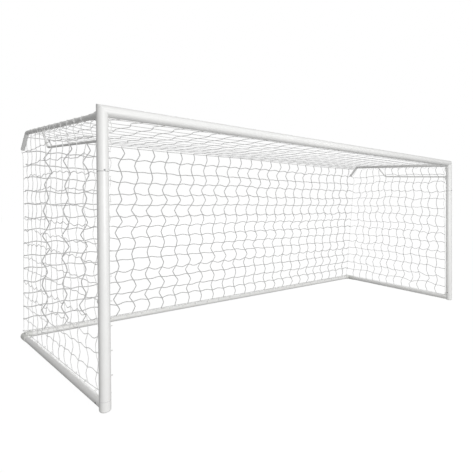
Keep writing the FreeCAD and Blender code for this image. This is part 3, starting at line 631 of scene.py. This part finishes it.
def top_place(across, back):
    """Top net: from the crossbar's clips back to the rope, lifted where it lies over the stays."""
    side = across * 2 - 1
    run = mix(NET_FRONT, ROPE_RUN, back)
    half = in_side(1, run, 0.0, 0.0).x
    from_edge = (1 - abs(side)) * half
    over_stay = stay_height(min(run, BEND_RUN)) + STAY_R + STAY_COVER
    middle_z = mix(CROSSBAR_Z, ROPE_Z, back) - TOP_DIP * math.sin(math.pi * back)
    lift = max(0.0, over_stay - middle_z) * min(1.0, back * LIFT_RATE)
    z = middle_z + lift * fade(from_edge - LIFT_EDGE, LIFT_SPREAD)
    return Vector((side * half, FRONT_Y + run * math.cos(SPLAY), z))


def side_place(side):
    """Side net: from the stay down to the side bar, from the post back to the rear net."""

    def place(across, down):
        top_run = mix(SIDE_START, ROPE_RUN, across)
        low_run = mix(SIDE_LOW_START, BAR_RUN - SIDE_LOW_STOP, across)
        run = mix(top_run, low_run, down) + leg_push(down, (1 - across) * SIDE_DEPTH)
        z = mix(min(stay_height(top_run), SIDE_TOP), NET_LOW, down)
        drape = SIDE_DRAPE * fade(down * 2.0, 0.5)
        belly = SIDE_BELLY * math.sin(math.pi * down) * math.sin(math.pi * across)
        out = drape + SIDE_TUCK * down ** 3 + belly
        out += (POST_LINE - out) * fade(top_run - SIDE_START, POST_SPREAD)
        return in_side(side, run, out, z)

    return place


LACE_START = 0.16
LACE_PITCH = 0.152
LACE_TURN = 0.010  # how far along the stay a turn over it takes
LACE_DROP = 0.020
LACE_STRAY = 0.006
LACE_R = 0.0017
LACE_CLEAR = 0.001
LACE_OVER = (-30, 210)  # degrees round the stay
LACE_UNDER = (210, 330)
LACE_STEPS = 12
BORDER_R = 0.0022
LOOP_BACK = 0.010
LOOP_IN = 0.042
LOOP_FADE = 1.5  # the loops are gone two thirds of the way down
JOINT_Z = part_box("upper_post_left")[0][2]
FOOT_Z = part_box("lower_post_left")[0][2]


def scallop(place, share, rows):
    """A point of the post's border cord, which bows back and inward between clips, most at the top."""
    here = place(0.0, share)
    back = (place(0.03, share) - here).normalized()
    inward = Vector((-math.copysign(1.0, here.x), 0.0, 0.0))
    slack = max(0.0, 1 - share * LOOP_FADE)
    bow = slack * abs(math.sin(math.pi * rows * share))
    return here + (back * LOOP_BACK + inward * LOOP_IN) * bow


def lacing(side):
    """The cord that laces the nets to a stay: over the tube, then a slack loop under it."""
    points = []
    reach = STAY_R + LACE_R + LACE_CLEAR
    loops = int((BEND_RUN - LACE_START) / LACE_PITCH)
    shaper = random.Random(40 + side)
    for loop in range(loops):
        start = LACE_START + loop * LACE_PITCH
        hang = LACE_DROP + shaper.uniform(-LACE_STRAY, LACE_STRAY)
        for step in range(LACE_STEPS + 1):
            share = step / LACE_STEPS
            run = start + LACE_TURN * share
            angle = math.radians(mix(*LACE_OVER, share))
            out = reach * math.cos(angle)
            points.append(in_side(side, run, out, stay_height(run) + reach * math.sin(angle)))
        for step in range(1, LACE_STEPS):
            share = step / LACE_STEPS
            run = start + LACE_TURN + (LACE_PITCH - LACE_TURN) * share
            angle = math.radians(mix(*LACE_UNDER, share))
            out = reach * math.cos(angle)
            low = reach * math.sin(angle) - hang * math.sin(math.pi * share)
            points.append(in_side(side, run, out, stay_height(run) + low))
    return points


# ---- operators ----------------------------------------------------------------------------


class GOAL_OT_paint_frame(bpy.types.Operator):
    """Powder coat the posts, crossbar, ground bars and feet"""

    bl_idname = "goal.paint_frame"
    bl_label = "Paint Frame"

    def execute(self, context):
        finish = context.scene.goal_finish
        coat = powder_coat("frame_powder_coat", tuple(finish.frame_paint), finish.coat_roughness)
        paint_nodes(coat, ["crossbar", "rear_bar"] + both("upper_post", "lower_post", "side_bar", "foot"))
        return {"FINISHED"}


class GOAL_OT_paint_stays(bpy.types.Operator):
    """Powder coat the stays, braces and their sockets"""

    bl_idname = "goal.paint_stays"
    bl_label = "Paint Stays"

    def execute(self, context):
        finish = context.scene.goal_finish
        coat = powder_coat("stay_powder_coat", tuple(finish.stay_paint), finish.coat_roughness + 0.04)
        paint_nodes(coat, both("stay", "brace", "stay_socket", "brace_socket"))
        return {"FINISHED"}


class GOAL_OT_paint_fittings(bpy.types.Operator):
    """Finish the elbows, caps, inner castings, clips and screws"""

    bl_idname = "goal.paint_fittings"
    bl_label = "Paint Fittings"

    def execute(self, context):
        finish = context.scene.goal_finish
        elbow = moulded_plastic("elbow_plastic", tuple(finish.elbow_paint), 0.44)
        paint_nodes(elbow, both("rear_elbow"))
        paint_nodes(moulded_plastic("cap_plastic", (0.42, 0.43, 0.42), 0.48), both("stay_cap"))
        casting = cast_alloy("inner_casting", (0.62, 0.63, 0.64))
        paint_nodes(casting, both("corner_casting", "post_sleeve"))
        clip = moulded_plastic("clip_plastic", (0.70, 0.70, 0.69), 0.42)
        clip_nodes = ["net_clips_crossbar", "net_clips_rear_bar"]
        paint_nodes(clip, clip_nodes + both("net_clips_post", "net_clips_side_bar"))
        screw = plated_screw("plated_screw", (0.26, 0.26, 0.265))
        kinds = ("post_joint", "corner", "foot", "bar", "elbow", "stay_socket", "brace_socket")
        paint_nodes(screw, [f"{kind}_screws" for kind in kinds])
        return {"FINISHED"}


TWINE_LAY = 160.0  # twists a metre, of the net's twine, the ropes and the thin cords
ROPE_LAY = 110.0
CORD_LAY = 190.0
ROPE_POINTS = 160
CORD_POINTS = 180
# Sizes of the thin dark rings that are painted shadow in the post joints and at the feet
JOINT_LINE_R = 0.0028
FOOT_LINE_R = 0.0009
LINE_SINK = 0.80  # how much of its own radius a joint line lies inside the tube


# The panels share one twine; each panel's colour is painted light or painted shade for how it is lit
def panel_shaded_twine(part, colour):
    return twisted_twine(f"{part}_twine", tuple(colour), TWINE_LAY)


class GOAL_OT_hang_rear_net(bpy.types.Operator):
    """Hang the rear net from the rope down to the rear bar"""

    bl_idname = "goal.hang_rear_net"
    bl_label = "Hang Rear Net"

    def execute(self, context):
        net = context.scene.goal_net
        panel = Panel(rear_place, net.columns_across, net.rows_down, net.wave, SAG, seed=11)
        bm = panel.build(net.twine / 2)
        twine = panel_shaded_twine("rear", context.scene.goal_finish.rear_cord_painted_shade)
        finished(bm, "rear_net", twine, "net_cord", "net_rear")
        return {"FINISHED"}


class GOAL_OT_hang_top_net(bpy.types.Operator):
    """Lay the top net over the stays"""

    bl_idname = "goal.hang_top_net"
    bl_label = "Hang Top Net"

    def execute(self, context):
        net = context.scene.goal_net
        panel = Panel(top_place, net.columns_across, net.columns_deep - 1, net.wave * 0.8, TOP_SAG, seed=12)
        bm = panel.build(net.top_twine / 2)
        twine = panel_shaded_twine("top", context.scene.goal_finish.top_cord_painted_shade)
        finished(bm, "top_net", twine, "net_cord", "net_top")
        return {"FINISHED"}


class GOAL_OT_hang_side_nets(bpy.types.Operator):
    """Hang the two side nets between the posts and the rear net"""

    bl_idname = "goal.hang_side_nets"
    bl_label = "Hang Side Nets"

    def execute(self, context):
        net = context.scene.goal_net
        finish = context.scene.goal_finish
        # Painted light on the left side net's twine, painted shade on the right side net's twine
        side_cord_painted_tones = {"left": finish.left_cord_painted_light, "right": finish.right_cord_painted_shade}
        for index, (side_name, side) in enumerate(SIDES):
            place = side_place(side)
            panel = Panel(
                place, net.columns_deep, net.rows_down, net.side_wave, SAG, seed=21 + index, slack=0.010,
            )
            bm = panel.build(net.side_twine / 2)
            twine = panel_shaded_twine(side_name, side_cord_painted_tones[side_name])
            finished(bm, f"side_net_{side_name}", twine, "net_cord", f"net_{side_name}")
        return {"FINISHED"}


class GOAL_OT_reeve_ropes(bpy.types.Operator):
    """Reeve the border ropes through the clips and behind the stays"""

    bl_idname = "goal.reeve_ropes"
    bl_label = "Reeve Ropes"

    def execute(self, context):
        net = context.scene.goal_net
        white = context.scene.goal_finish.border_colour
        rope = twisted_twine("border_rope", shade(white, 0.85), ROPE_LAY)
        across = [index / ROPE_POINTS for index in range(ROPE_POINTS + 1)]
        down = [index / CORD_POINTS for index in range(CORD_POINTS + 1)]
        ropes = {
            "rope_top_rear": [rear_place(share, 0.0) for share in across],
            "rope_crossbar": [top_place(share, 0.0) for share in across],
            "rope_rear_bar": [rear_place(share, 1.0) for share in across],
        }
        for name, path in ropes.items():
            finished(cord_piece([path], net.rope / 2), name, rope, "net_cord")
        thin = twisted_twine("border_cord", tuple(white), CORD_LAY)
        for side_name, side in SIDES:
            place = side_place(side)
            borders = {
                "corner": [place(1.0, share) for share in down],
                "post": [scallop(place, share, net.rows_down) for share in down],
                "side_bar": [place(share, 1.0) for share in down],
            }
            for name, path in borders.items():
                finished(cord_piece([path], BORDER_R), f"cord_{name}_{side_name}", thin, "net_cord")
            finished(cord_piece([lacing(side)], LACE_R), f"lacing_{side_name}", thin, "net_cord")
        return {"FINISHED"}


# Painted shadow: these rings are no gasket or seal, only a near-black line for the shade in each gap
class GOAL_OT_paint_joint_shadows(bpy.types.Operator):
    """Lay the dark shadow gap of the post joints and the foot caps"""

    bl_idname = "goal.seal_joints"
    bl_label = "Seal Joints"

    def execute(self, context):
        # Painted shadow: near-black rings stand in for the shade in the gaps at the post joints and foot
        # caps
        painted_gap_shadow = moulded_plastic("joint_shadow_line", (0.09, 0.09, 0.09), 0.6)
        for side_name, side in SIDES:
            for name, height, radius in (("joint", JOINT_Z, JOINT_LINE_R), ("foot", FOOT_Z, FOOT_LINE_R)):
                bm = bmesh.new()
                ring = ring_mesh(TUBE_R - radius * LINE_SINK, radius, 96, 8)
                bm.from_mesh(ring)
                bpy.data.meshes.remove(ring)
                place = Matrix.Translation((side * HALF_SPAN, FRONT_Y, height))
                bmesh.ops.transform(bm, matrix=place, verts=bm.verts)
                finished(bm, f"{name}_shadow_line_{side_name}", painted_gap_shadow, "net_clip")
        return {"FINISHED"}


# ---- the stage -------------------------------------------------------------------------------

CAMERA_X = -3.308
CAMERA_BACK = -2.552  # from the goal's mouth
CAMERA_Z = 1.362
CAMERA_YAW = 36.564
CAMERA_PITCH = -0.577
CAMERA_ROLL = -0.366
CAMERA_SHIFT = -0.0476
FLOOR_HALF = 60
FLOOR_DROP = 0.001
BOUNCE = 0.45  # what the floor throws back at the goal, and how dark it is under its own glow
FLOOR_SHADE = 0.14
ROOM_LIGHT = 0.37
KEY_LIGHT = 1.20
KEY_FROM = (-0.08, -0.76, 0.64)
GLOBE_LIGHT = 610.0
GLOBE_X = -1.6
GLOBE_AWAY = 6.0
GLOBE_Z = 1.7
SPOT_LIGHT = 150.0
FILL_LIGHT = 0.9
FILL_FROM = (0.45, 0.86, 0.15)
FLOOR_GLOW = 0.90
SUN_SPREAD = math.radians(35)
SPOT_SPREAD = math.radians(55)
SPOT_AT = Vector((-2.2, FRONT_Y - 1.0, 1.3))
SPOT_AIM = Vector((HALF_SPAN, FRONT_Y + 0.8, 0.9))


class GOAL_OT_set_stage(bpy.types.Operator):
    """Set the floor, the studio light and the camera"""

    bl_idname = "goal.set_stage"
    bl_label = "Set Stage"

    def execute(self, context):
        stage = context.scene.goal_stage
        bm = bmesh.new()
        bmesh.ops.create_grid(bm, x_segments=1, y_segments=1, size=FLOOR_HALF)
        mesh = bpy.data.meshes.new("studio_floor")
        bm.to_mesh(mesh)
        bm.free()
        floor = bpy.data.objects.new("studio_floor", mesh)
        floor.location.z = -FLOOR_DROP
        context.scene.collection.objects.link(floor)
        mesh.materials.append(studio_floor(tuple(stage.floor_colour), FLOOR_GLOW))
        light_studio(context.scene)
        camera_data = bpy.data.cameras.new("camera")
        camera_data.lens = stage.lens
        camera_data.sensor_width = 36
        camera_data.clip_end = 300
        camera_data.shift_y = CAMERA_SHIFT
        camera = bpy.data.objects.new("camera", camera_data)
        camera.location = (CAMERA_X, FRONT_Y + CAMERA_BACK, CAMERA_Z)
        tilt = math.pi / 2 + math.radians(CAMERA_PITCH)
        turn = Matrix.Rotation(math.radians(-CAMERA_YAW), 4, "Z") @ Matrix.Rotation(tilt, 4, "X")
        camera.rotation_euler = (turn @ Matrix.Rotation(math.radians(CAMERA_ROLL), 4, "Z")).to_euler()
        context.scene.collection.objects.link(camera)
        context.scene.camera = camera
        context.scene.view_settings.view_transform = "Standard"
        return {"FINISHED"}


def studio_floor(colour, glow):
    """A pale floor that glows for the camera, like a lit sweep, and throws a little light back up."""
    shader = Shader("studio_floor")
    seen = shader.add("ShaderNodeLightPath", {}, output="Is Camera Ray")
    speck = shader.noise(2.0, detail=3.0)
    pale = shader.mix_colour(speck, shade(colour, FLOOR_SHADE * 0.99), shade(colour, FLOOR_SHADE))
    shader.set(Base_Color=shader.mix_colour(seen, shade(colour, BOUNCE), pale), Roughness=0.9)
    shader.surface.inputs["Specular IOR Level"].default_value = 0.1
    shader.surface.inputs["Emission Color"].default_value = (1, 1, 1, 1)
    shader.feed(shader.surface.inputs["Emission Strength"], seen * glow)
    return shader.material


def add_lamp(scene, name, kind, energy):
    """A soft lamp that throws no shadow."""
    data = bpy.data.lights.new(name, kind)
    data.energy = energy
    data.use_shadow = False
    lamp = bpy.data.objects.new(name, data)
    scene.collection.objects.link(lamp)
    return lamp


def light_studio(scene):
    """A white room seen by the camera, a dim room seen by the goal, and four soft lights."""
    world = bpy.data.worlds.new("studio")
    scene.world = world
    world.use_nodes = True
    nodes = world.node_tree.nodes
    links = world.node_tree.links
    back = nodes["Background"]
    path = nodes.new("ShaderNodeLightPath")
    level = nodes.new("ShaderNodeMapRange")
    level.inputs["To Min"].default_value = ROOM_LIGHT
    level.inputs["To Max"].default_value = 1.0
    links.new(path.outputs["Is Camera Ray"], level.inputs["Value"])
    links.new(level.outputs[0], back.inputs["Strength"])
    back.inputs["Color"].default_value = (1, 1, 1, 1)
    for name, energy, direction in (("key", KEY_LIGHT, KEY_FROM), ("fill", FILL_LIGHT, FILL_FROM)):
        lamp = add_lamp(scene, name, "SUN", energy)
        lamp.data.angle = SUN_SPREAD
        lamp.rotation_euler = Vector(direction).to_track_quat("Z", "Y").to_euler()
    globe = add_lamp(scene, "globe", "POINT", GLOBE_LIGHT)
    globe.data.shadow_soft_size = 1.0
    globe.location = (GLOBE_X, FRONT_Y - GLOBE_AWAY, GLOBE_Z)
    spot = add_lamp(scene, "side_spot", "SPOT", SPOT_LIGHT)
    spot.data.spot_size = SPOT_SPREAD
    spot.data.spot_blend = 1.0
    spot.data.shadow_soft_size = 0.6
    spot.location = SPOT_AT
    spot.rotation_euler = (SPOT_AT - SPOT_AIM).to_track_quat("Z", "Y").to_euler()


STEPS = (
    ("paint_frame", GOAL_OT_paint_frame),
    ("paint_stays", GOAL_OT_paint_stays),
    ("paint_fittings", GOAL_OT_paint_fittings),
    ("hang_rear_net", GOAL_OT_hang_rear_net),
    ("hang_top_net", GOAL_OT_hang_top_net),
    ("hang_side_nets", GOAL_OT_hang_side_nets),
    ("reeve_ropes", GOAL_OT_reeve_ropes),
    ("seal_joints", GOAL_OT_paint_joint_shadows),
    ("set_stage", GOAL_OT_set_stage),
)


class GOAL_PT_sidebar(bpy.types.Panel):
    bl_idname = "GOAL_PT_sidebar"
    bl_label = "Soccer Goal"
    bl_space_type = "VIEW_3D"
    bl_region_type = "UI"
    bl_category = "Goal"

    def draw(self, context):
        layout = self.layout
        for settings in (context.scene.goal_finish, context.scene.goal_net, context.scene.goal_stage):
            box = layout.box()
            for key in settings.bl_rna.properties.keys():
                if key not in {"rna_type", "name"}:
                    box.prop(settings, key)
        for step, _ in STEPS:
            layout.operator(f"goal.{step}")


SETTINGS = (("goal_finish", GoalFinish), ("goal_net", GoalNet), ("goal_stage", GoalStage))


def register():
    for name, settings in SETTINGS:
        bpy.utils.register_class(settings)
        setattr(bpy.types.Scene, name, bpy.props.PointerProperty(type=settings))
    for _, operator in STEPS:
        bpy.utils.register_class(operator)
    bpy.utils.register_class(GOAL_PT_sidebar)


def unregister():
    bpy.utils.unregister_class(GOAL_PT_sidebar)
    for _, operator in reversed(STEPS):
        bpy.utils.unregister_class(operator)
    for name, settings in reversed(SETTINGS):
        delattr(bpy.types.Scene, name)
        bpy.utils.unregister_class(settings)


def main():
    register()
    for step, _ in STEPS:
        getattr(bpy.ops.goal, step)()


if __name__ == "__main__":
    main()
